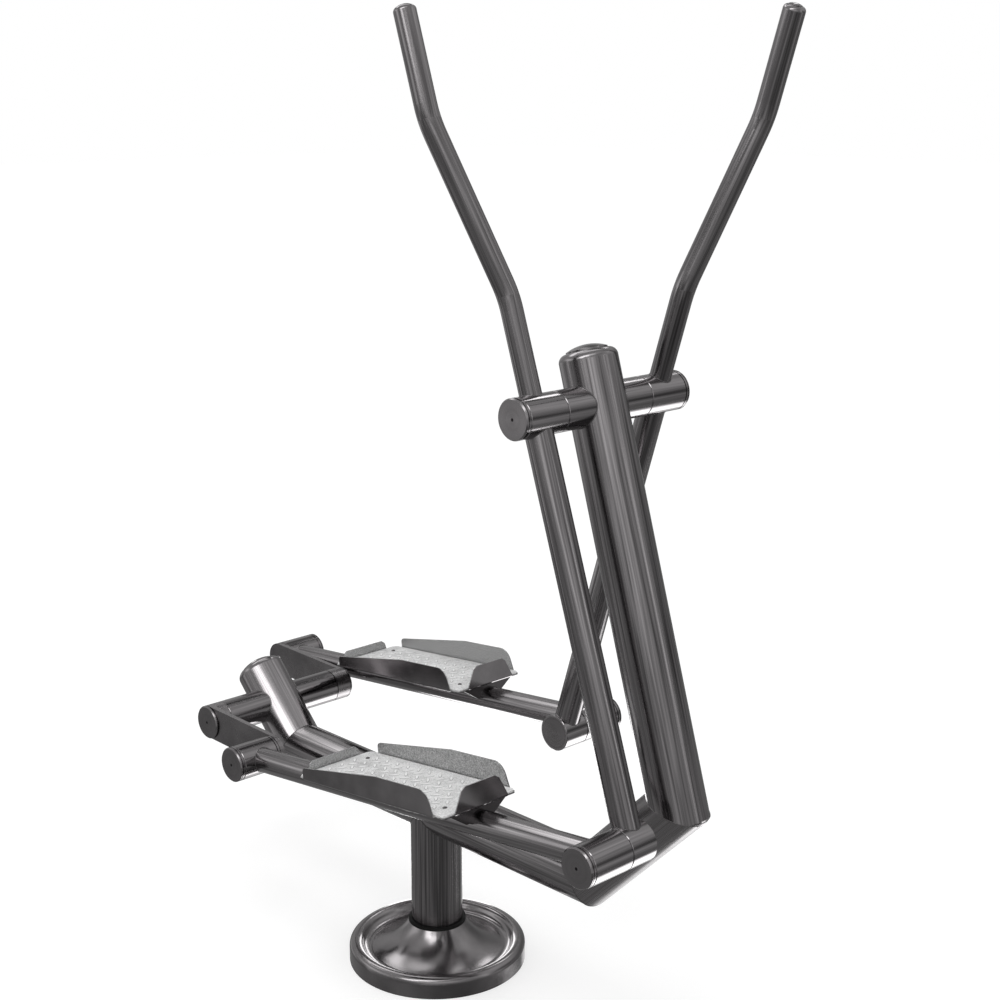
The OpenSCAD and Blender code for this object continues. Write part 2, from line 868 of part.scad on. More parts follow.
module left_handle_tube() {
    color("gray") lever_frame(left_lever_angle) handle_tube_form();
}

module left_handle_end() {
    color("gray") lever_frame(left_lever_angle) handle_end_form();
}

module left_foot_sleeve() {
    color("gray") lever_frame(left_lever_angle) foot_sleeve_form();
}

module left_pedal_pin() {
    color("silver") lever_frame(left_lever_angle) pedal_pin_form();
}

module left_pedal_keeper() {
    color("silver") lever_frame(left_lever_angle) pedal_keeper_form();
}

// Pedal arm, drawn for the left side in the arm's frame

module pedal_arm_form() {
    difference() {
        translate([0, arm_y, 0]) rotate([0, 90, 0])
            tube(arm_od / 2, arm_od / 2 - arm_wall, arm_len);
        for (x = [0, arm_len]) across([x, 0], arm_sleeve_y) cylinder(r = sleeve_r, h = sleeve_len);
    }
}

module front_sleeve_form() {
    across([arm_len, 0], arm_sleeve_y) sleeve(sleeve_len);
}

module rear_sleeve_form() {
    across([0, 0], rear_sleeve_y) sleeve(rear_sleeve_len);
}

module arm_bearings_form() {
    across([arm_len, 0], arm_sleeve_y) bearing_pair(sleeve_len);
    across([0, 0], rear_sleeve_y) bearing_pair(rear_sleeve_len);
}

module arm_caps_form() {
    for (x = [0, arm_len]) across([x, 0], arm_sleeve_end) end_cap();
}

// Pin of the crank with its washer and bolt
module crank_pin_form() {
    seat = arm_sleeve_end + keeper_seat;
    across([0, 0], rear_sleeve_y) cylinder(r = axle_d / 2, h = seat - rear_sleeve_y);
    across([0, 0], seat) keeper();
}

// Foot tray: local x along the arm, y from the arm's centre plane, z above the arm's axis

// Extrudes an outline of [x, z] over a width centred on the arm
module over_width(width) {
    translate([0, width / 2, 0]) rotate([90, 0, 0]) linear_extrude(width) children();
}

// Extrudes an outline of [y, z] along the arm
module along_arm(start, length) {
    translate([start, 0, 0]) rotate([90, 0, 90]) linear_extrude(length) children();
}

// Outline of a folded sheet in cross section: a floor and two flanges, open above
module channel_outline(width, wall, height) {
    radius = tray_bend - wall;
    half = width / 2 - wall;
    translate([-half, tray_under + tray_bend]) square([2 * half, height]);
    translate([-half + radius, tray_under + wall]) square([2 * (half - radius), height]);
    for (side = [-1, 1]) translate([side * (half - radius), tray_under + tray_bend])
        circle(radius);
}

module folded_section(width, height) {
    difference() {
        channel_outline(width, 0, height);
        channel_outline(width, tray_sheet, height + overrun);
    }
}

// Side view of the side flanges, with a rounded toe and heel and a leaning toe edge
module side_outline() {
    low = tread_top + side_heel_h;
    high = tread_top + side_toe_h;
    round_z = high - side_round;
    edge_x = side_round * cos(side_lean);
    edge_z = side_round * sin(side_lean);
    edge_run = (round_z + edge_z - tray_under) * tan(side_lean);
    round_x = side_end - edge_run - edge_x;
    translate([side_start + heel_round, low - heel_round]) circle(heel_round);
    translate([side_start, tray_under]) square([heel_round, low - heel_round - tray_under]);
    translate([round_x, round_z]) circle(side_round);
    polygon([
        [side_start + heel_round, tray_under],
        [side_start + heel_round, low],
        [kink_at, high],
        [round_x, high],
        [round_x, round_z],
        [round_x + edge_x, round_z + edge_z],
        [side_end, tray_under],
    ]);
}

// Plan of the floor with its four round corners. A margin draws its straight edges in, and
// an inset its corners.
module floor_plan(margin, inset) {
    intersection() {
        union() {
            translate([side_start, -tray_w / 2]) square([side_end - side_start, tray_w]);
            translate([tray_start, -tray_w / 2 + corner_r])
                square([tray_len, tray_w - 2 * corner_r]);
            for (x = [side_start, side_end]) for (side = [-1, 1])
                translate([x, side * (tray_w / 2 - corner_r)]) circle(corner_r - inset);
        }
        translate([tray_start + margin, -tray_w / 2 + margin])
            square([tray_len - 2 * margin, tray_w - 2 * margin]);
    }
}

// End view of the heel or toe flange, with slanting ends and cut upper corners
module end_flange_outline(height, slant) {
    top = tread_top + height;
    top_half = flange_half - slant;
    corner_half = top_half + slant * flange_corner / height;
    polygon([
        [-flange_half, tray_under],
        [-flange_half, tread_top],
        [-corner_half, top - flange_corner],
        [flange_corner - top_half, top],
        [top_half - flange_corner, top],
        [corner_half, top - flange_corner],
        [flange_half, tread_top],
        [flange_half, tray_under],
    ]);
}

// Folded end flange with its bend, at the heel or the toe
module end_flange(height, slant) {
    intersection() {
        over_width(tray_w) translate([tray_mid, 0])
            folded_section(tray_len, height + tread_t + tray_sheet);
        along_arm(tray_start, tray_len) end_flange_outline(height, slant);
    }
}

module screw_places() {
    for (x = [-screw_run, screw_run]) for (y = [-screw_side, screw_side])
        translate([tray_mid + x, y, 0]) children();
}

module foot_tray_form() {
    translate([0, arm_y, 0]) difference() {
        union() {
            intersection() {
                along_arm(side_start, side_end - side_start)
                    folded_section(tray_w, side_toe_h + tread_t + tray_sheet);
                over_width(tray_w) side_outline();
            }
            translate([0, 0, tray_under]) linear_extrude(tray_sheet) floor_plan(tray_bend, 0);
            intersection() {
                end_flange(heel_flange_h, heel_slant);
                translate([tray_start, -flange_half, tray_under])
                    cube([tray_len / 2, 2 * flange_half, side_toe_h + tread_t + tray_sheet]);
            }
            intersection() {
                end_flange(toe_flange_h, toe_slant);
                translate([tray_mid, -flange_half, tray_under])
                    cube([tray_len / 2, 2 * flange_half, side_toe_h + tread_t + tray_sheet]);
            }
        }
        screw_places() translate([0, 0, tray_under - overrun])
            cylinder(r = screw_d / 2, h = tray_sheet + 2 * overrun);
    }
}

module tread_plate_form() {
    translate([0, arm_y, 0]) difference() {
        translate([0, 0, tray_floor]) linear_extrude(tread_t)
            floor_plan(tray_bend + tread_gap, tread_margin);
        screw_places() translate([0, 0, tray_floor - overrun])
            cylinder(r = screw_d / 2, h = tread_t + 2 * overrun);
    }
}

module tread_screws_form() {
    translate([0, arm_y, 0]) screw_places() {
        translate([0, 0, tray_under]) cylinder(r = screw_d / 2, h = tray_sheet + tread_t);
        translate([0, 0, tread_top]) cylinder(r = screw_head_d / 2, h = screw_head_h);
    }
}

// Three saddle plates that carry the tray on the arm
module tray_saddles_form() {
    starts = [
        tray_start + saddle_inset,
        tray_mid - saddle_t / 2,
        tray_end - saddle_inset - saddle_t,
    ];
    translate([0, arm_y, 0]) difference() {
        for (x = starts) along_arm(x, saddle_t) polygon([
            [-saddle_w / 2, tray_under],
            [saddle_w / 2, tray_under],
            [saddle_foot_w / 2, saddle_low],
            [-saddle_foot_w / 2, saddle_low],
        ]);
        rotate([0, 90, 0]) cylinder(r = arm_od / 2, h = arm_len);
    }
}

module right_pedal_arm() {
    color("gray") right_side() arm_frame(right_pin, right_slope) pedal_arm_form();
}

module right_front_sleeve() {
    color("gray") right_side() arm_frame(right_pin, right_slope) front_sleeve_form();
}

module right_rear_sleeve() {
    color("gray") right_side() arm_frame(right_pin, right_slope) rear_sleeve_form();
}

module right_arm_bearings() {
    color("silver") right_side() arm_frame(right_pin, right_slope) arm_bearings_form();
}

module right_arm_caps() {
    color("gray") right_side() arm_frame(right_pin, right_slope) arm_caps_form();
}

module right_crank_pin() {
    color("silver") right_side() arm_frame(right_pin, right_slope) crank_pin_form();
}

module right_foot_tray() {
    color("gray") right_side() arm_frame(right_pin, right_slope) foot_tray_form();
}

module right_tread_plate() {
    color("lightgray") right_side() arm_frame(right_pin, right_slope) tread_plate_form();
}

module right_tray_saddles() {
    color("gray") right_side() arm_frame(right_pin, right_slope) tray_saddles_form();
}

module right_tread_screws() {
    color("silver") right_side() arm_frame(right_pin, right_slope) tread_screws_form();
}

module left_pedal_arm() {
    color("gray") arm_frame(left_pin, left_slope) pedal_arm_form();
}

module left_front_sleeve() {
    color("gray") arm_frame(left_pin, left_slope) front_sleeve_form();
}

module left_rear_sleeve() {
    color("gray") arm_frame(left_pin, left_slope) rear_sleeve_form();
}

module left_arm_bearings() {
    color("silver") arm_frame(left_pin, left_slope) arm_bearings_form();
}

module left_arm_caps() {
    color("gray") arm_frame(left_pin, left_slope) arm_caps_form();
}

module left_crank_pin() {
    color("silver") arm_frame(left_pin, left_slope) crank_pin_form();
}

module left_foot_tray() {
    color("gray") arm_frame(left_pin, left_slope) foot_tray_form();
}

module left_tread_plate() {
    color("lightgray") arm_frame(left_pin, left_slope) tread_plate_form();
}

module left_tray_saddles() {
    color("gray") arm_frame(left_pin, left_slope) tray_saddles_form();
}

module left_tread_screws() {
    color("silver") arm_frame(left_pin, left_slope) tread_screws_form();
}

base_flange();
base_gussets();
base_cover();
cover_seal();
post_tube();
spine_beam();
front_elbow();
column_tube();
column_cap();
rear_stub();
rear_stub_cap();
top_cross_tube();
top_axle();
axle_collars();
top_axle_keepers();
crank_housing();
housing_bearings();
crank_shaft();
right_crank_plate();
left_crank_plate();
crank_caps();
crank_spacers();
right_lever_hub();
right_hub_bearings();
right_hub_cap();
right_lever_tube();
right_handle_tube();
right_handle_end();
right_foot_sleeve();
right_pedal_pin();
right_pedal_keeper();
left_lever_hub();
left_hub_bearings();
left_hub_cap();
left_lever_tube();
left_handle_tube();
left_handle_end();
left_foot_sleeve();
left_pedal_pin();
left_pedal_keeper();
right_pedal_arm();
right_front_sleeve();
right_rear_sleeve();
right_arm_bearings();
right_arm_caps();
right_crank_pin();
right_foot_tray();
right_tread_plate();
right_tray_saddles();
right_tread_screws();
left_pedal_arm();
left_front_sleeve();
left_rear_sleeve();
left_arm_bearings();
left_arm_caps();
left_crank_pin();
left_foot_tray();
left_tread_plate();
left_tray_saddles();
left_tread_screws();
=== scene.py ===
import json
import math

import bmesh
import bpy
from mathutils import Matrix, Vector


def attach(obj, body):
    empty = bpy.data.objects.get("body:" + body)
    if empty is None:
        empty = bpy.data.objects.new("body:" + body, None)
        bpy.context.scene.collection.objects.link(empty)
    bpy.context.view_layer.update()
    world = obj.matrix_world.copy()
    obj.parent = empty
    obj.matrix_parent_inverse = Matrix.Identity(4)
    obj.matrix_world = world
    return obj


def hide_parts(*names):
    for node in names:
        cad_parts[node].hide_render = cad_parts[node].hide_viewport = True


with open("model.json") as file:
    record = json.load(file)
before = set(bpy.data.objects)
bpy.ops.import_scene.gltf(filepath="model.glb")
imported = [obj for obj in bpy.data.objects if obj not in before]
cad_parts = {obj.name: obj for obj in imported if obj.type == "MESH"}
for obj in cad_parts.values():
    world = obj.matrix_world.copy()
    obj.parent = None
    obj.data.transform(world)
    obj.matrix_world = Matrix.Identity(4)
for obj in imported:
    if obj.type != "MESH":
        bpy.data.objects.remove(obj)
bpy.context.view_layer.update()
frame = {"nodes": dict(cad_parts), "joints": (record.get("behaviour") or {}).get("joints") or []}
nodes = frame["nodes"]
joint_at = {j["name"]: Vector(j["pos_m"]) for j in frame["joints"]}

# Sizes repeated from the part, in metres and degrees
MAIN_R = 0.0508
SLEEVE_R = 0.035
LEVER_R = 0.0483 / 2
HANDLE_R = 0.0381 / 2
ARM_R = 0.0483 / 2
BEAM_HEIGHT = 0.320
FRONT_REACH = 0.418
REAR_REACH = 0.439
ELBOW_LEN = 0.280
ELBOW_RISE = 45
COLUMN_DIR = 106.6
STUB_RISE = 45
CRANK_THROW = 0.218
CRANK_REST = -1
LEVER_Y = 0.1475
ARM_Y = 0.216
CORNER_CUT_SHARE = 0.3

# The trays, in the pedal arm's frame: rear pin to heel and toe, half width, floor
TRAY_START = 0.260
TRAY_END = 0.672
TRAY_HALF = 0.091
TRAY_FLOOR = 0.0335
TRAY_CORNER_R = 0.025
SHEET_MIDDLE = 0.0015

# The treads: the plate, its raised bars and its screws
TREAD_T = 0.003
TREAD_MARGIN = 0.0055
TREAD_CORNER_R = 0.023
TREAD_EDGE = 0.0006
OUTLINE_STEPS = 28
SAME_PLACE = 0.0002
BAR_PITCH = 0.030
BAR_HALF = 0.0115
BAR_WIDE = 0.0034
BAR_HIGH = 0.0013
BAR_TIP = 0.00005
BAR_SINK = 0.0001
BAR_STEPS = (9, 5)
BAR_CLEAR = 0.0115
BARS_AHEAD = 8
BARS_ACROSS = 4
SCREW_RUN = 0.168
SCREW_SIDE = 0.052
SCREW_CLEAR = 0.015
SCREW_R = 0.00425
SCREW_H = 0.002
SCREW_STEPS = 24
# Profiles of the head and of its socket, in shares of the screw's radius and height
HEAD_PROFILE = ((1, 0), (1, 0.25), (0.94, 0.5), (0.8, 0.77), (0.62, 0.95), (0.48, 1))
SOCKET_PROFILE = ((0.34, 1), (0.32, 0.9), (0.32, 0.4))

# The weld beads: radii, ripples, and how many points a line has
BEAD_R = 0.0011
SEAM_R = 0.0007
BEAD_SIDES = 8
RIPPLE_PITCH = 0.0022
RIPPLE_SHARE = 0.07
SLEEVE_STEPS = 200
HOUSING_STEPS = 260
POST_STEPS = 320
SEAM_STEPS = 300

# Faces that meet at less than this are shaded as one
SMOOTH_ANGLE = 40

SIDES = ("right", "left")
Y_AXIS = Vector((0, 1, 0))
Z_AXIS = Vector((0, 0, 1))


def heading(angle):
    """Direction in the side view at an angle above +X, in degrees."""
    a = math.radians(angle)
    return Vector((math.cos(a), 0, math.sin(a)))


def flat(point):
    """The point moved onto the machine's centre plane."""
    return Vector((point[0], 0, point[2]))


def square_to(way):
    """The direction a quarter turn on from another one in the side view, from +X towards +Z."""
    return Vector((-way[2], 0, way[0]))


def side_sign(side):
    return -1 if side == "right" else 1


lever_pivot = flat(joint_at["right_lever_swing"])
crank_axis = flat(joint_at["crank_turn"])
front_mitre = Vector((FRONT_REACH, 0, BEAM_HEIGHT))
rear_mitre = Vector((-REAR_REACH, 0, BEAM_HEIGHT))
upper_mitre = front_mitre + ELBOW_LEN * heading(ELBOW_RISE)
pin_at = {
    "right": crank_axis + CRANK_THROW * heading(CRANK_REST),
    "left": crank_axis + CRANK_THROW * heading(CRANK_REST + 180),
}
pedal_at = {s: flat(joint_at[s + "_pedal_hinge"]) for s in SIDES}
lever_down = {s: (pedal_at[s] - lever_pivot).normalized() for s in SIDES}
arm_ahead = {s: (pedal_at[s] - pin_at[s]).normalized() for s in SIDES}


# Camera

CAMERA_PLACE = (2.3513, -2.0763, 1.7129)
CAMERA_DOWN = 13.836
CAMERA_TURN = 46.259
CAMERA_LENS = 61.73
CAMERA_SENSOR = 36


def make_camera():
    """The photograph's camera: above the right-hand front, looking down at the machine."""
    data = bpy.data.cameras.new("camera")
    data.sensor_width = CAMERA_SENSOR
    data.lens = CAMERA_LENS
    data.clip_start = 0.05
    data.clip_end = 100
    camera = bpy.data.objects.new("camera", data)
    camera.location = CAMERA_PLACE
    camera.rotation_euler = (math.radians(90 - CAMERA_DOWN), 0, math.radians(CAMERA_TURN))
    bpy.context.scene.collection.objects.link(camera)
    bpy.context.scene.camera = camera


# Materials

# The span in which most of a noise lies
NOISE_LOW = 0.3
NOISE_HIGH = 0.7
# Streaks to the metre along and across a tube, rings to the metre on turned faces
STREAKS_ALONG = 4
STREAKS_ACROSS = 290
RINGS = 900
# What handling marks add to the roughness
SMUDGE = 0.05
# Red and green of the steel against its blue
STEEL_RED = 1.025
STEEL_GREEN = 0.98
# Heights above the tread between which the sheet turns into a painted shade line round each bar's
# foot
SHADE_LINE_LOW = 0.00002
SHADE_LINE_HIGH = 0.00008
# Shares of a bar's height between which the painted shade line turns into the lighter top
BAR_TOP_LOW = 0.3
BAR_TOP_HIGH = 0.5


def put(tree, kind, links=(), **settings):
    """Adds a node, sets its properties and its sockets, and returns it."""
    node = tree.nodes.new(kind)
    for key, value in settings.items():
        setattr(node, key, value)
    for socket, value in links:
        if isinstance(value, bpy.types.NodeSocket):
            tree.links.new(value, node.inputs[socket])
        else:
            node.inputs[socket].default_value = value
    return node


def maths(tree, operation, a, b=0.0):
    return put(tree, "ShaderNodeMath", [(0, a), (1, b)], operation=operation).outputs[0]


def vector_maths(tree, operation, *values, output=0):
    links = list(enumerate(values))
    return put(tree, "ShaderNodeVectorMath", links, operation=operation).outputs[output]


def dot(tree, vector, direction):
    return vector_maths(tree, "DOT_PRODUCT", vector, direction, output="Value")


def past(tree, here, way, start):
    """How far a place lies along a direction, counted from a start."""
    return maths(tree, "SUBTRACT", dot(tree, here, way), start)


def product(tree, first, *others):
    for other in others:
        first = maths(tree, "MULTIPLY", first, other)
    return first


def weighted(tree, first, second, share):
    """Sum of a share of the first value and the rest of the second."""
    parts = (maths(tree, "MULTIPLY", first, share), maths(tree, "MULTIPLY", second, 1 - share))
    return maths(tree, "ADD", *parts)


def span(tree, value, low, high, to_low, to_high):
    """Maps a value from one span to another and keeps it there."""
    links = [("Value", value), ("From Min", low), ("From Max", high)]
    links += [("To Min", to_low), ("To Max", to_high)]
    return put(tree, "ShaderNodeMapRange", links).outputs["Result"]


def spread(tree, value, to_low, to_high):
    """Maps the span in which most of a noise lies to another span."""
    return span(tree, value, NOISE_LOW, NOISE_HIGH, to_low, to_high)


def noise(tree, vector, scale, detail):
    links = [("Vector", vector), ("Scale", scale), ("Detail", detail)]
    return put(tree, "ShaderNodeTexNoise", links).outputs[0]


def blend(tree, kind, factor, first, second):
    """The first value where the factor is 0, the second where it is 1."""
    mix = put(tree, "ShaderNodeMix", data_type=kind)
    sockets = [s for s in mix.inputs if s.enabled]
    for socket, value in zip(sockets, (factor, first, second)):
        if isinstance(value, bpy.types.NodeSocket):
            tree.links.new(value, socket)
        else:
            socket.default_value = value
    return [s for s in mix.outputs if s.enabled][0]


def blend_colour(tree, factor, first, second):
    return blend(tree, "RGBA", factor, first, second)


def grey(level):
    return (level, level, level, 1)


def steel(level):
    """Grey with the faint warm violet of the tubes."""
    return (STEEL_RED * level, STEEL_GREEN * level, level, 1)


def start_material(name, metallic):
    material = bpy.data.materials.new(name)
    material.use_nodes = True
    tree = material.node_tree
    shader = tree.nodes["Principled BSDF"]
    shader.inputs["Metallic"].default_value = metallic
    here = put(tree, "ShaderNodeTexCoord").outputs["Object"]
    return material, tree, shader, here


def bump(tree, shader, height, strength, distance):
    links = [("Strength", strength), ("Distance", distance), ("Height", height)]
    tree.links.new(put(tree, "ShaderNodeBump", links).outputs[0], shader.inputs["Normal"])


def paint(tree, shader, colour, roughness):
    tree.links.new(colour, shader.inputs["Base Color"])
    tree.links.new(roughness, shader.inputs["Roughness"])


def streak_place(tree, here, axis):
    """Coordinates stretched along an axis, for streaks that run along it."""
    axis = Vector(axis).normalized()
    side = axis.orthogonal().normalized()
    third = axis.cross(side)
    ways = (axis * STREAKS_ALONG, side * STREAKS_ACROSS, third * STREAKS_ACROSS)
    parts = [dot(tree, here, way) for way in ways]
    return put(tree, "ShaderNodeCombineXYZ", list(enumerate(parts))).outputs[0]


def brushed(name, axis, level, rough, contrast=0.5, relief=1.0, bent=None):
    """Polished metal with fine lengthwise streaks and faint handling marks.

    Where bent is given, the streaks follow its axis between two distances from its start.
    """
    material, tree, shader, here = start_material(name, 1)
    where = streak_place(tree, here, axis)
    if bent:
        other_axis, start, first, last = bent
        run = past(tree, here, axis, start.dot(axis))
        tests = (maths(tree, "GREATER_THAN", run, first), maths(tree, "LESS_THAN", run, last))
        other = streak_place(tree, here, other_axis)
        where = blend(tree, "VECTOR", product(tree, *tests), where, other)
    streaks = noise(tree, where, 1, 4)
    marks = noise(tree, here, 9, 3)
    colour = blend_colour(
        tree,
        spread(tree, streaks, 0, 1),
        steel(level * (1 - contrast)),
        steel(level * (1 + contrast)),
    )
    grain = spread(tree, streaks, rough - 0.03, rough + 0.04)
    smudge = span(tree, marks, 0.4, 0.75, 0, SMUDGE)
    paint(tree, shader, colour, maths(tree, "ADD", grain, smudge))
    bump(tree, shader, streaks, 0.3 * relief, 0.0002)
    return material


def turned(name, axis, centres, level, rough, shade_dot_r=0.0):
    """Metal turned on a lathe: fine rings round one or two centres, perhaps with a dark dot of
    painted shade for a centre dimple.
    """
    material, tree, shader, here = start_material(name, 1)
    axis = Vector(axis).normalized()
    mask = Vector((1, 1, 1)) - axis
    arms = []
    radii = []
    for centre in centres:
        away = vector_maths(tree, "SUBTRACT", here, Vector(centre))
        arms.append(vector_maths(tree, "MULTIPLY", away, mask))
        radii.append(vector_maths(tree, "LENGTH", arms[-1], output="Value"))
    arm = arms[0]
    radius = radii[0]
    if len(centres) > 1:
        nearer = maths(tree, "LESS_THAN", radii[1], radii[0])
        arm = blend(tree, "VECTOR", nearer, *arms)
        radius = maths(tree, "MINIMUM", *radii)
    parts = [maths(tree, "MULTIPLY", radius, RINGS), dot(tree, here, axis * RINGS), 0.0]
    where = put(tree, "ShaderNodeCombineXYZ", list(enumerate(parts))).outputs[0]
    rings = noise(tree, where, 1, 3)
    broad = noise(tree, where, 0.16, 2)
    marks = noise(tree, here, 11, 3)
    both = weighted(tree, rings, broad, 0.6)
    colour = blend_colour(
        tree, span(tree, both, 0.35, 0.65, 0, 1), steel(level * 0.88), steel(level * 1.12)
    )
    # Painted shade: a dark dot in the middle, where the centre dimple would lie in shade
    if shade_dot_r:
        dark = span(tree, radius, shade_dot_r * 0.8, shade_dot_r * 1.2, 1, 0)
        colour = blend_colour(tree, dark, colour, steel(level * 0.25))
    grain = spread(tree, both, rough - 0.02, rough + 0.03)
    smudge = span(tree, marks, 0.45, 0.75, 0, SMUDGE)
    paint(tree, shader, colour, maths(tree, "ADD", grain, smudge))
    bump(tree, shader, both, 0.25, 0.00012)
    shader.inputs["Anisotropic"].default_value = 0.4
    round_way = vector_maths(tree, "CROSS_PRODUCT", axis, arm)
    turned_way = put(
        tree,
        "ShaderNodeVectorTransform",
        [(0, round_way)],
        vector_type="VECTOR",
        convert_from="OBJECT",
        convert_to="WORLD",
    ).outputs[0]
    tree.links.new(turned_way, shader.inputs["Tangent"])
    return material


def tray_metal(name, side):
    """Folded sheet: fine matt grain inside the tray, smoother and darker outside."""
    material, tree, shader, here = start_material(name, 1)
    pin = pin_at[side]
    ahead = arm_ahead[side]
    up = square_to(ahead)
    run = past(tree, here, ahead, pin.dot(ahead))
    rise = past(tree, here, up, pin.dot(up))
    away = past(tree, here, Y_AXIS, side_sign(side) * ARM_Y)
    inside = product(
        tree,
        maths(tree, "LESS_THAN", maths(tree, "ABSOLUTE", away), TRAY_HALF - SHEET_MIDDLE),
        maths(tree, "GREATER_THAN", run, TRAY_START + SHEET_MIDDLE),
        maths(tree, "LESS_THAN", run, TRAY_END - SHEET_MIDDLE),
        maths(tree, "GREATER_THAN", rise, TRAY_FLOOR - SHEET_MIDDLE),
    )
    grain = noise(tree, here, 520, 4)
    cloud = noise(tree, here, 26, 4)
    light = blend_colour(tree, span(tree, grain, 0.36, 0.64, 0, 1), grey(0.28), grey(0.68))
    dark = blend_colour(tree, spread(tree, cloud, 0, 1), steel(0.21), steel(0.27))
    colour = blend_colour(tree, inside, dark, light)
    matt = spread(tree, grain, 0.42, 0.55)
    smooth = spread(tree, cloud, 0.16, 0.2)
    roughness = maths(
        tree,
        "ADD",
        maths(tree, "MULTIPLY", matt, inside),
        maths(tree, "MULTIPLY", smooth, maths(tree, "SUBTRACT", 1.0, inside)),
    )
    paint(tree, shader, colour, roughness)
    bump(tree, shader, maths(tree, "MULTIPLY", grain, inside), 0.25, 0.0003)
    return material


def plain_metal(name, level, rough):
    """Steel with an even fine grain."""
    material, tree, shader, here = start_material(name, 1)
    grain = noise(tree, here, 700, 3)
    cloud = noise(tree, here, 18, 3)
    colour = blend_colour(
        tree,
        span(tree, maths(tree, "ADD", grain, cloud), 0.7, 1.3, 0, 1),
        steel(level * 0.85),
        steel(level * 1.15),
    )
    paint(tree, shader, colour, spread(tree, cloud, rough - 0.04, rough + 0.06))
    bump(tree, shader, grain, 0.15, 0.0002)
    return material


def galvanised(name):
    """Zinc coat with its large dull crystals."""
    material, tree, shader, here = start_material(name, 0.8)
    cells = put(tree, "ShaderNodeTexVoronoi", [("Vector", here), ("Scale", 90)]).outputs["Color"]
    value = dot(tree, cells, Vector((0.34, 0.33, 0.33)))
    colour = blend_colour(tree, span(tree, value, 0.2, 0.8, 0, 1), grey(0.34), grey(0.5))
    paint(tree, shader, colour, span(tree, value, 0.2, 0.8, 0.42, 0.6))
    return material


def rubber(name):
    material, tree, shader, here = start_material(name, 0)
    grain = noise(tree, here, 600, 4)
    colour = blend_colour(tree, spread(tree, grain, 0, 1), grey(0.008), grey(0.016))
    paint(tree, shader, colour, spread(tree, grain, 0.6, 0.75))
    bump(tree, shader, grain, 0.3, 0.0003)
    shader.inputs["Specular IOR Level"].default_value = 0.15
    return material


def tread_metal(name, side):
    """Light checker sheet: speckled, with painted shade in a dark line round each bar's foot, and
    the bars' tops lighter.
    """
    material, tree, shader, here = start_material(name, 0)
    up = square_to(arm_ahead[side])
    height = past(tree, here, up, pin_at[side].dot(up) + TRAY_FLOOR + TREAD_T)
    grain = noise(tree, here, 420, 5)
    cloud = noise(tree, here, 34, 4)
    mixed = weighted(tree, grain, cloud, 0.7)
    sheet = blend_colour(tree, span(tree, mixed, 0.38, 0.6, 0, 1), grey(0.5), grey(0.88))
    # Painted shade: a dark line round each bar's foot, where the bar meets the sheet
    foot = span(tree, height, SHADE_LINE_LOW, SHADE_LINE_HIGH, 0, 1)
    shade_lined = blend_colour(tree, foot, sheet, grey(0.24))
    bar_top = span(tree, height, BAR_TOP_LOW * BAR_HIGH, BAR_TOP_HIGH * BAR_HIGH, 0, 1)
    colour = blend_colour(tree, bar_top, shade_lined, grey(0.9))
    paint(tree, shader, colour, spread(tree, cloud, 0.42, 0.56))
    bump(tree, shader, grain, 0.3, 0.0004)
    return material


def dress(material, *names):
    for name in names:
        mesh = nodes[name].data
        mesh.materials.clear()
        mesh.materials.append(material)


# Pieces in mesh code


def put_in_scene(name, build, material):
    """Makes an object of a bmesh and links it."""
    mesh = bpy.data.meshes.new(name)
    build.to_mesh(mesh)
    build.free()
    mesh.materials.append(material)
    piece = bpy.data.objects.new(name, mesh)
    bpy.context.scene.collection.objects.link(piece)
    return piece


def finish_mesh(name, build, material, body):
    """Turns a bmesh into a piece that rides on a body."""
    bmesh.ops.recalc_face_normals(build, faces=build.faces)
    piece = put_in_scene(name, build, material)
    piece.data.shade_smooth()
    piece.data.set_sharp_from_angle(angle=math.radians(SMOOTH_ANGLE))
    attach(piece, body)
    return piece


def join_rings(build, here, there):
    """Quads between two rings with as many points."""
    count = len(here)
    for k in range(count):
        n = (k + 1) % count
        build.faces.new((here[k], here[n], there[n], there[k]))


def close_stack(build, rings):
    """Walls between rings that lie on one another, and a face on each end."""
    for lower, upper in zip(rings, rings[1:]):
        join_rings(build, lower, upper)
    build.faces.new(rings[-1])
    build.faces.new(list(reversed(rings[0])))


def sweep_ring(build, points, outs, radius):
    """Sweeps a small round bead along a closed line; outs are directions off the surface."""
    count = len(points)
    lengths = [0.0]
    for i in range(count):
        lengths.append(lengths[-1] + (points[(i + 1) % count] - points[i]).length)
    waves = max(1, round(lengths[-1] / RIPPLE_PITCH))
    rings = []
    for i in range(count):
        along = (points[(i + 1) % count] - points[i - 1]).normalized()
        out = (outs[i] - along * outs[i].dot(along)).normalized()
        across = along.cross(out)
        wave = math.sin(2 * math.pi * waves * lengths[i] / lengths[-1])
        swell = radius * (1 + RIPPLE_SHARE * wave)
        ring = []
        for k in range(BEAD_SIDES):
            a = 2 * math.pi * k / BEAD_SIDES
            off = swell * (math.cos(a) * out + math.sin(a) * across)
            ring.append(build.verts.new(points[i] + off))
        rings.append(ring)
    for i in range(count):
        join_rings(build, rings[i], rings[(i + 1) % count])


def saddle_line(point, direction, branch_r, main_dir, main_r, count):
    """Where a branch tube that starts on a main tube's axis comes out of its wall."""
    direction = direction.normalized()
    main_dir = main_dir.normalized()
    first = main_dir - direction * main_dir.dot(direction)
    first.normalize()
    second = direction.cross(first)
    points = []
    outs = []
    for i in range(count):
        t = 2 * math.pi * i / count
        off = math.cos(t) * first + math.sin(t) * second
        start = branch_r * off
        a = direction - main_dir * direction.dot(main_dir)
        b = start - main_dir * start.dot(main_dir)
        qa = a.dot(a)
        qb = 2 * a.dot(b)
        qc = b.dot(b) - main_r * main_r
        root = math.sqrt(max(qb * qb - 4 * qa * qc, 0))
        place = start + direction * (root - qb) / (2 * qa)
        wall = (place - main_dir * place.dot(main_dir)).normalized()
        points.append(point + place)
        outs.append((wall + off).normalized())
    return points, outs


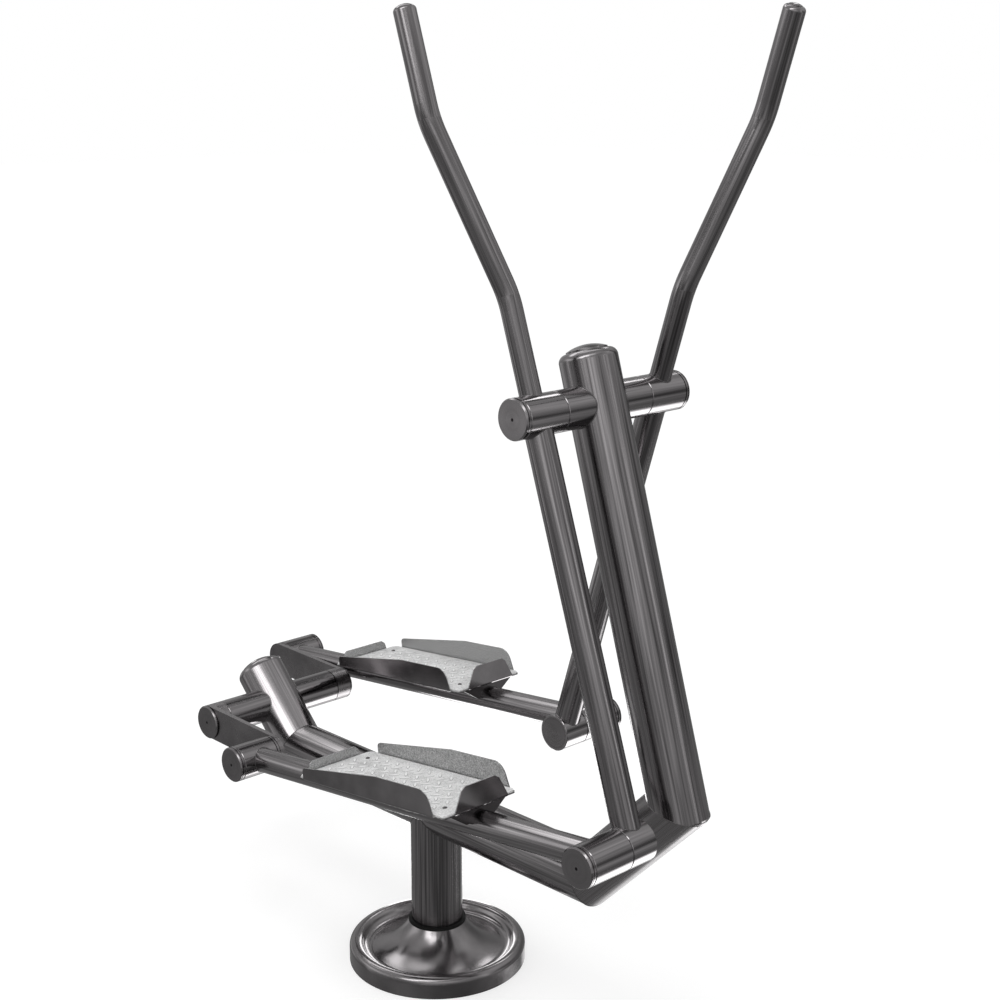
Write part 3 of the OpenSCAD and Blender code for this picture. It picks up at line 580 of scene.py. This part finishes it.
def mitre_line(point, before, after, radius, count):
    """The seam of two tubes of one radius that meet at a mitre, its outer corner ground."""
    half = math.radians(abs(after - before) / 2)
    ground = radius + (radius / math.cos(half) - radius) * (1 - CORNER_CUT_SHARE)
    middle = heading((before + after) / 2)
    across = square_to(middle)
    points = []
    outs = []
    for i in range(count):
        t = 2 * math.pi * i / count
        place = math.cos(t) * radius / math.cos(half) * across + math.sin(t) * radius * Y_AXIS
        outs.append(place.normalized())
        outer = place.dot(across) < 0 if after > before else place.dot(across) > 0
        if outer and place.length > ground:
            place = place.normalized() * ground
        points.append(point + place)
    return points, outs


def add_bead(build, start, way, branch_r, main_way, main_r, steps):
    """Bead where a branch tube leaves a main tube."""
    line = saddle_line(start, way, branch_r, main_way, main_r, steps)
    sweep_ring(build, *line, BEAD_R)


def weld_beads(material):
    """Beads round the tubes' joints, one piece for each body that has welds."""
    for side in SIDES:
        out = Y_AXIS * side_sign(side)
        down = lever_down[side]
        hub = lever_pivot + out * LEVER_Y
        foot = pedal_at[side] + out * LEVER_Y
        build = bmesh.new()
        for start, way, branch_r in (
            (hub, down, LEVER_R),
            (hub, -down, HANDLE_R),
            (foot, -down, LEVER_R),
        ):
            add_bead(build, start, way, branch_r, Y_AXIS, SLEEVE_R, SLEEVE_STEPS)
        finish_mesh(side + "_lever_welds", build, material, side + "_lever")
        rear = pin_at[side] + out * ARM_Y
        front = pedal_at[side] + out * ARM_Y
        build = bmesh.new()
        for start, way in ((rear, arm_ahead[side]), (front, -arm_ahead[side])):
            add_bead(build, start, way, ARM_R, Y_AXIS, SLEEVE_R, SLEEVE_STEPS)
        finish_mesh(side + "_arm_welds", build, material, side + "_arm")
    build = bmesh.new()
    for sign in (-1, 1):
        for start, main in ((lever_pivot, COLUMN_DIR), (crank_axis, 180 - STUB_RISE)):
            add_bead(build, start, Y_AXIS * sign, SLEEVE_R, heading(main), MAIN_R, HOUSING_STEPS)
    post_top = Vector((0, 0, BEAM_HEIGHT))
    add_bead(build, post_top, -Z_AXIS, MAIN_R, heading(0), MAIN_R, POST_STEPS)
    for place, before, after in (
        (rear_mitre, -STUB_RISE, 0),
        (front_mitre, 0, ELBOW_RISE),
        (upper_mitre, ELBOW_RISE, COLUMN_DIR),
    ):
        sweep_ring(build, *mitre_line(place, before, after, MAIN_R, SEAM_STEPS), SEAM_R)
    finish_mesh("frame_welds", build, material, "frame")


# Tread


def tray_frame(side):
    """Matrix from the tray's own frame (x along the arm, y outboard, z up) to the row frame."""
    ahead = arm_ahead[side]
    up = square_to(ahead)
    outboard = Y_AXIS * side_sign(side)
    origin = pin_at[side] + outboard * ARM_Y
    return Matrix(
        (
            (ahead[0], outboard[0], up[0], origin[0]),
            (ahead[1], outboard[1], up[1], origin[1]),
            (ahead[2], outboard[2], up[2], origin[2]),
            (0, 0, 0, 1),
        )
    )


def tread_outline():
    """Plan of the tread: straight edges inside the flanges, round open corners."""
    points = []
    x_low = TRAY_START + TREAD_MARGIN
    x_high = TRAY_END - TREAD_MARGIN
    y_high = TRAY_HALF - TREAD_MARGIN
    corners = [
        (TRAY_END - TRAY_CORNER_R, TRAY_HALF - TRAY_CORNER_R, 0),
        (TRAY_START + TRAY_CORNER_R, TRAY_HALF - TRAY_CORNER_R, 90),
        (TRAY_START + TRAY_CORNER_R, -TRAY_HALF + TRAY_CORNER_R, 180),
        (TRAY_END - TRAY_CORNER_R, -TRAY_HALF + TRAY_CORNER_R, 270),
    ]
    for x, y, turn in corners:
        for k in range(OUTLINE_STEPS + 1):
            a = math.radians(turn + 90 * k / OUTLINE_STEPS)
            px = x + TREAD_CORNER_R * math.cos(a)
            py = y + TREAD_CORNER_R * math.sin(a)
            place = (min(max(px, x_low), x_high), min(max(py, -y_high), y_high))
            if not points or math.dist(points[-1], place) > SAME_PLACE:
                points.append(place)
    return points


def add_bar(build, centre, angle, top):
    """One raised lens-shaped bar of the checker pattern."""
    along_steps, across_steps = BAR_STEPS
    c = math.cos(math.radians(angle))
    s = math.sin(math.radians(angle))
    grid = []
    for i in range(along_steps):
        u = -1 + 2 * i / (along_steps - 1)
        half = BAR_WIDE * (1 - u * u) + BAR_TIP
        row = []
        for j in range(across_steps):
            v = -1 + 2 * j / (across_steps - 1)
            lift = BAR_HIGH * (1 - u * u) ** 0.5 * (1 - v * v) ** 0.6
            x = u * BAR_HALF
            y = v * half
            place = (centre[0] + c * x - s * y, centre[1] + s * x + c * y, top - BAR_SINK + lift)
            row.append(build.verts.new(place))
        grid.append(row)
    for here, there in zip(grid, grid[1:]):
        for j in range(across_steps - 1):
            build.faces.new((here[j], there[j], there[j + 1], here[j + 1]))
    rim = [grid[i][0] for i in range(along_steps)]
    rim += [grid[-1][j] for j in range(1, across_steps)]
    rim += [grid[i][-1] for i in range(along_steps - 2, -1, -1)]
    rim += [grid[0][j] for j in range(across_steps - 2, 0, -1)]
    build.faces.new(rim)


def add_plate(build, outline, low, high, edge):
    """A plate with a small rounded upper edge."""
    centre_x = sum(p[0] for p in outline) / len(outline)
    step = 0.3 * edge
    rings = []
    for inset, z in ((0, low), (0, high - edge), (step, high - step), (edge, high)):
        ring = []
        for x, y in outline:
            away = Vector((x - centre_x, y, 0))
            length = away.length
            away = away * ((length - inset) / length)
            ring.append(build.verts.new((centre_x + away[0], away[1], z)))
        rings.append(ring)
    close_stack(build, rings)


def inside_tread(x, y):
    """True where a bar lies clear of the tread's edge and of its screws."""
    half_len = (TRAY_END - TRAY_START) / 2 - TREAD_MARGIN
    half_wide = TRAY_HALF - TREAD_MARGIN
    if abs(x) > half_len - BAR_CLEAR or abs(y) > half_wide - BAR_CLEAR:
        return False
    corner_x = abs(x) - (half_len + TREAD_MARGIN - TRAY_CORNER_R)
    corner_y = abs(y) - (half_wide + TREAD_MARGIN - TRAY_CORNER_R)
    reach = TREAD_CORNER_R - BAR_CLEAR
    if corner_x > 0 and corner_y > 0 and math.hypot(corner_x, corner_y) > reach:
        return False
    return math.hypot(abs(x) - SCREW_RUN, abs(y) - SCREW_SIDE) > SCREW_CLEAR


def make_treads():
    outline = tread_outline()
    middle = (TRAY_START + TRAY_END) / 2
    top = TRAY_FLOOR + TREAD_T
    for side in SIDES:
        build = bmesh.new()
        add_plate(build, outline, TRAY_FLOOR, top, TREAD_EDGE)
        for shift, angle in ((0, 45), (0.5, -45)):
            for i in range(-BARS_AHEAD, BARS_AHEAD + 1):
                for j in range(-BARS_ACROSS, BARS_ACROSS + 1):
                    x = (i + shift) * BAR_PITCH
                    y = (j + shift) * BAR_PITCH
                    if inside_tread(x, y):
                        add_bar(build, (middle + x, y), angle, top)
        build.transform(tray_frame(side))
        material = tread_metal(side + "_tread_sheet", side)
        piece = finish_mesh(side + "_tread", build, material, side + "_arm")
        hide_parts(side + "_tread_plate")


def add_screw_head(build, x, y, base):
    """Button head with a hexagon socket."""
    half_side = math.pi / 6
    rings = []
    for profile, sunk in ((HEAD_PROFILE, False), (SOCKET_PROFILE, True)):
        for share_r, share_z in profile:
            ring = []
            for k in range(SCREW_STEPS):
                a = 2 * math.pi * k / SCREW_STEPS
                r = share_r * SCREW_R
                if sunk:
                    r /= math.cos((a + half_side) % (2 * half_side) - half_side)
                place = (x + r * math.cos(a), y + r * math.sin(a), base + share_z * SCREW_H)
                ring.append(build.verts.new(place))
            rings.append(ring)
    close_stack(build, rings)


def make_screws(material):
    middle = (TRAY_START + TRAY_END) / 2
    top = TRAY_FLOOR + TREAD_T
    for side in SIDES:
        build = bmesh.new()
        for x in (-SCREW_RUN, SCREW_RUN):
            for y in (-SCREW_SIDE, SCREW_SIDE):
                add_screw_head(build, middle + x, y, top)
        build.transform(tray_frame(side))
        piece = finish_mesh(side + "_screw_heads", build, material, side + "_arm")
        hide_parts(side + "_tread_screws")


# Studio

# The world's level for rays that light the object
WORLD_LEVEL = 0.78
# The floor: half its side, its height, its colour, and its glow where it is seen
FLOOR_HALF = 30
FLOOR_Z = -0.0006
FLOOR_LEVEL = 0.5
FLOOR_ROUGH = 0.9
FLOOR_GLOW = 0.63
# The lamp above the front
KEY_PLACE = Vector((1.2, -1.6, 4.2))
KEY_TARGET = Vector((0, 0, 0.7))
KEY_SIZE = 1.6
KEY_RADIANCE = 5.0
# The low card that the cover's rim mirrors
CARD_PLACE = Vector((-0.40, 0.36, 0.04))
CARD_WIDE = 0.30
CARD_TALL = 0.32
CARD_GLOW = 4.0

# The tent: radius, levels above and below the horizon, and the elevations between which they blend
TENT_R = 9.0
TENT_ABOVE = 0.5
TENT_BELOW = 0.245
BLEND_LOW = -9
BLEND_HIGH = 17
CLOUD_SCALE = 2.2
CLOUD_LOW = 0.8
CLOUD_HIGH = 1.2

# What the dark tent shows: azimuth, elevation, width, height, softness, level
TENT_WINDOWS = (
    (-80, 38, 22, 16, 0.2, 3.0),
    (-62, 48, 28, 15, 0.3, 3.2),
    (-38, 54, 34, 14, 0.6, 1.2),
    (-10, 60, 50, 12, 0.8, 0.35),
    (176, 49, 60, 13, 0.3, 2.3),
    (150, 71, 100, 20, 0.3, 1.0),
    (-133, 21, 44, 14, 0.5, 0.6),
    (-46, 21, 44, 18, 0.6, 0.44),
    (21, 13, 7, 36, 0.5, 0.6),
    (50, 40, 50, 26, 0.6, 0.2),
    (-52, -7, 28, 14, 0.6, 0.3),
    (40, -8, 14, 16, 0.6, 0.3),
    (-176, -6, 28, 12, 0.6, 0.4),
    (-134, 0, 7, 36, 0.6, 0.5),
    (112, 46, 11, 8, 0.3, 4.0),
    (79, -46, 46, 27, 0.2, 4.2),
    (119, -45, 32, 40, 0.3, 0.9),
)
# Dark places in it, in the same terms; the level is the share of its brightness that is left
TENT_SHADES = (
    (0, 16, 18, 12, 0.6, 0.6),
    (48, 9, 36, 14, 0.6, 0.3),
    (-85, 8, 44, 26, 0.6, 0.75),
    (90, 8, 50, 26, 0.6, 0.7),
    (108, 18, 34, 26, 0.6, 0.6),
    (118, 55, 44, 12, 0.3, 0.15),
    (134, 38, 16, 22, 0.5, 0.4),
    (-20, -25, 80, 26, 0.5, 0.5),
)


def make_key():
    """Area lamp with a given radiance; the tent's windows stand for it in reflections."""
    data = bpy.data.lights.new("key", "AREA")
    data.shape = "RECTANGLE"
    data.size = KEY_SIZE
    data.size_y = KEY_SIZE
    data.energy = KEY_RADIANCE * math.pi * KEY_SIZE * KEY_SIZE
    lamp = bpy.data.objects.new("key", data)
    lamp.visible_camera = False
    lamp.visible_glossy = False
    lamp.location = KEY_PLACE
    lamp.rotation_euler = (KEY_TARGET - KEY_PLACE).to_track_quat("-Z", "Y").to_euler()
    bpy.context.scene.collection.objects.link(lamp)


def seen_white(tree):
    """1 for camera, glossy and transmission rays, 0 for the rest."""
    path = put(tree, "ShaderNodeLightPath")
    seen = maths(tree, "MAXIMUM", path.outputs["Is Camera Ray"], path.outputs["Is Glossy Ray"])
    return maths(tree, "MAXIMUM", seen, path.outputs["Is Transmission Ray"])


def make_world():
    world = bpy.data.worlds.new("studio")
    world.use_nodes = True
    tree = world.node_tree
    background = tree.nodes["Background"]
    background.inputs["Color"].default_value = grey(1)
    strength = span(tree, seen_white(tree), 0, 1, WORLD_LEVEL, 1)
    tree.links.new(strength, background.inputs["Strength"])
    bpy.context.scene.world = world


def glowing(name, level, rough):
    """Dull material with a white glow; gives it with the socket of the glow."""
    material = bpy.data.materials.new(name)
    material.use_nodes = True
    shader = material.node_tree.nodes["Principled BSDF"]
    shader.inputs["Base Color"].default_value = grey(level)
    shader.inputs["Roughness"].default_value = rough
    shader.inputs["Specular IOR Level"].default_value = 0
    shader.inputs["Emission Color"].default_value = grey(1)
    return material, shader.inputs["Emission Strength"]


def quad(middle, across, rise):
    """A bmesh of one face, from its middle and two half sides."""
    build = bmesh.new()
    corners = [middle + a * across + b * rise for a, b in ((-1, -1), (1, -1), (1, 1), (-1, 1))]
    build.faces.new([build.verts.new(corner) for corner in corners])
    return build


def make_floor():
    """Pale floor that stays white round the object and keeps its soft shadow."""
    material, glow = glowing("floor_paper", FLOOR_LEVEL, FLOOR_ROUGH)
    tree = material.node_tree
    tree.links.new(span(tree, seen_white(tree), 0, 1, 0, FLOOR_GLOW), glow)
    build = quad(Z_AXIS * FLOOR_Z, heading(0) * FLOOR_HALF, Y_AXIS * FLOOR_HALF)
    floor = put_in_scene("floor", build, material)
    floor.visible_glossy = False


def only_reflected(name, build, material):
    """Stage object that nothing but reflections shows."""
    piece = put_in_scene(name, build, material)
    piece.visible_camera = False
    piece.visible_diffuse = False
    piece.visible_transmission = False
    piece.visible_shadow = False


def window_mask(tree, azimuth, elevation, window):
    """1 inside a window on the tent, 0 outside, with soft edges; all in degrees."""
    place_azimuth, place_elevation, wide, tall, soft = window
    turned_by = maths(tree, "SUBTRACT", azimuth, place_azimuth - 360 - 180)
    across = maths(tree, "SUBTRACT", maths(tree, "FLOORED_MODULO", turned_by, 360), 180)
    along = maths(tree, "SUBTRACT", elevation, place_elevation)
    masks = []
    for value, half in ((across, wide / 2), (along, tall / 2)):
        size = maths(tree, "ABSOLUTE", value)
        masks.append(span(tree, size, half * (1 - soft), half * (1 + soft), 1, 0))
    return product(tree, *masks)


def tent_level(tree):
    """Brightness of the tent: cloudy, darker below, with its shades and windows."""
    here = put(tree, "ShaderNodeTexCoord").outputs["Object"]
    way = vector_maths(tree, "NORMALIZE", here)
    x, y, z = [dot(tree, way, axis) for axis in (heading(0), Y_AXIS, Z_AXIS)]
    azimuth = maths(tree, "DEGREES", maths(tree, "ARCTAN2", y, x))
    elevation = maths(tree, "DEGREES", maths(tree, "ARCSINE", z))
    clouds = spread(tree, noise(tree, way, CLOUD_SCALE, 3), CLOUD_LOW, CLOUD_HIGH)
    sky = span(tree, elevation, BLEND_LOW, BLEND_HIGH, TENT_BELOW, TENT_ABOVE)
    level = product(tree, clouds, sky)
    for *window, share in TENT_SHADES:
        mask = window_mask(tree, azimuth, elevation, window)
        level = product(tree, level, span(tree, mask, 0, 1, 1, share))
    for *window, glow in TENT_WINDOWS:
        mask = window_mask(tree, azimuth, elevation, window)
        level = maths(tree, "ADD", level, product(tree, mask, glow))
    return level


def make_tent():
    """Dark tent with windows all round."""
    build = bmesh.new()
    bmesh.ops.create_uvsphere(build, u_segments=64, v_segments=32, radius=TENT_R)
    material, glow = glowing("tent_cloth", 0, 1)
    tree = material.node_tree
    tree.links.new(tent_level(tree), glow)
    only_reflected("tent", build, material)


def make_low_card():
    """White card behind the foot, for the bright line along the cover's rim."""
    material, glow = glowing("card_paper", 0, 1)
    glow.default_value = CARD_GLOW
    across = CARD_PLACE.cross(Z_AXIS).normalized() * CARD_WIDE / 2
    build = quad(CARD_PLACE, across, Z_AXIS * CARD_TALL / 2)
    only_reflected("low_card", build, material)


def make_studio():
    bpy.context.scene.view_settings.view_transform = "Standard"
    make_world()
    make_floor()
    make_tent()
    make_low_card()
    make_key()


# Dressing of the frame

STEEL_LEVEL = 0.25
STEEL_ROUGH = 0.16
DOME_ROUGH = 0.14
SLEEVE_ROUGH = 0.12
ELBOW_ROUGH = 0.25
CAP_ROUGH = 0.2
PLATE_ROUGH = 0.26
COVER_ROUGH = 0.18
# Painted light: the rear stub gets a lighter copy of the tubes' steel, so that its highlight
# reaches white
STUB_LIT_LEVEL = 0.33
STUB_ROUGH = 0.18
# Painted shade: the handles get a darker copy of the tubes' steel, which dims the highlights they
# mirror
HANDLE_SHADED_LEVEL = 0.22
HANDLE_ROUGH = 0.18
# Radius of the dark dot of painted shade that stands for the dimple in the middle of each end cap
CENTRE_SHADE_R = 0.003
# The handle's leaning stretch: where it starts above the pivot, its length and its angle
HANDLE_LOW = 0.1975
HANDLE_MID = 0.3065
HANDLE_BEND = 16.7


def handle_metal(side, level, rough):
    """Streaks that follow the handle through its two bends."""
    up = -lever_down[side]
    a = math.radians(HANDLE_BEND)
    leaning = math.cos(a) * up + math.sin(a) * side_sign(side) * Y_AXIS
    bent = (leaning, lever_pivot, HANDLE_LOW, HANDLE_LOW + HANDLE_MID * math.cos(a))
    return brushed(side + "_handle_metal", up, level, rough, bent=bent)


def dress_nodes():
    level = STEEL_LEVEL
    rough = STEEL_ROUGH
    dome = plain_metal("dome_metal", level, DOME_ROUGH)
    across = brushed("sleeve_metal", Y_AXIS, level, SLEEVE_ROUGH, contrast=0.25, relief=0.5)
    dress(brushed("post_metal", Z_AXIS, level, rough), "post_tube")
    dress(brushed("beam_metal", heading(0), level, rough), "spine_beam")
    elbow_way = heading(ELBOW_RISE)
    elbow_metal = brushed("elbow_metal", elbow_way, level, ELBOW_ROUGH, contrast=0.2)
    dress(elbow_metal, "front_elbow")
    dress(brushed("column_metal", heading(COLUMN_DIR), level, rough), "column_tube")
    stub_way = heading(180 - STUB_RISE)
    # Painted light: a lighter copy of the steel brightens the stub's highlight
    lit_stub_metal = brushed("lit_stub_metal", stub_way, STUB_LIT_LEVEL, STUB_ROUGH, contrast=0.35)
    dress(lit_stub_metal, "rear_stub")
    dress(dome, "column_cap", "rear_stub_cap")
    dress(across, "top_cross_tube", "crank_housing")
    dress(
        turned("hub_cap_metal", Y_AXIS, [lever_pivot], level, CAP_ROUGH, shade_dot_r=CENTRE_SHADE_R),
        "right_hub_cap",
        "left_hub_cap",
        "right_hub_bearings",
        "left_hub_bearings",
    )
    dress(
        turned("crank_cap_metal", Y_AXIS, [crank_axis], level, CAP_ROUGH, shade_dot_r=CENTRE_SHADE_R),
        "crank_caps",
        "housing_bearings",
    )
    dress(
        turned("spacer_metal", Y_AXIS, [pin_at["right"], pin_at["left"]], level, CAP_ROUGH),
        "crank_spacers",
    )
    for side in SIDES:
        ends = [pin_at[side], pedal_at[side]]
        dress(brushed(side + "_lever_metal", lever_down[side], level, rough), side + "_lever_tube")
        # Painted shade: the handles' darker copy of the steel
        dress(handle_metal(side, HANDLE_SHADED_LEVEL, HANDLE_ROUGH), side + "_handle_tube")
        for part in ("_lever_hub", "_foot_sleeve", "_front_sleeve", "_rear_sleeve"):
            dress(across, side + part)
        dress(
            turned(side + "_pin_metal", Y_AXIS, [pedal_at[side]], level, 0.25),
            side + "_pedal_pin",
            side + "_pedal_keeper",
        )
        dress(brushed(side + "_arm_metal", arm_ahead[side], level, rough), side + "_pedal_arm")
        dress(
            turned(side + "_arm_cap_metal", Y_AXIS, ends, level, CAP_ROUGH, shade_dot_r=CENTRE_SHADE_R),
            side + "_arm_caps",
            side + "_arm_bearings",
            side + "_crank_pin",
        )
        dress(tray_metal(side + "_tray_metal", side), side + "_foot_tray")
    dress(dome, "right_handle_end", "left_handle_end")
    dress(plain_metal("saddle_metal", 0.15, 0.3), "right_tray_saddles", "left_tray_saddles")
    dress(plain_metal("plate_metal", level, PLATE_ROUGH), "right_crank_plate", "left_crank_plate")
    dress(plain_metal("cover_metal", level, COVER_ROUGH), "base_cover")
    dress(rubber("seal_rubber"), "cover_seal")
    dress(galvanised("zinc_coat"), "base_flange", "base_gussets")
    bright = plain_metal("ground_steel", 0.4, 0.22)
    dress(bright, "top_axle", "axle_collars", "top_axle_keepers", "crank_shaft")


make_camera()
make_studio()
dress_nodes()
bead_metal = plain_metal("weld_metal", 0.17, 0.3)
weld_beads(bead_metal)
make_treads()
make_screws(plain_metal("screw_steel", 0.14, 0.35))
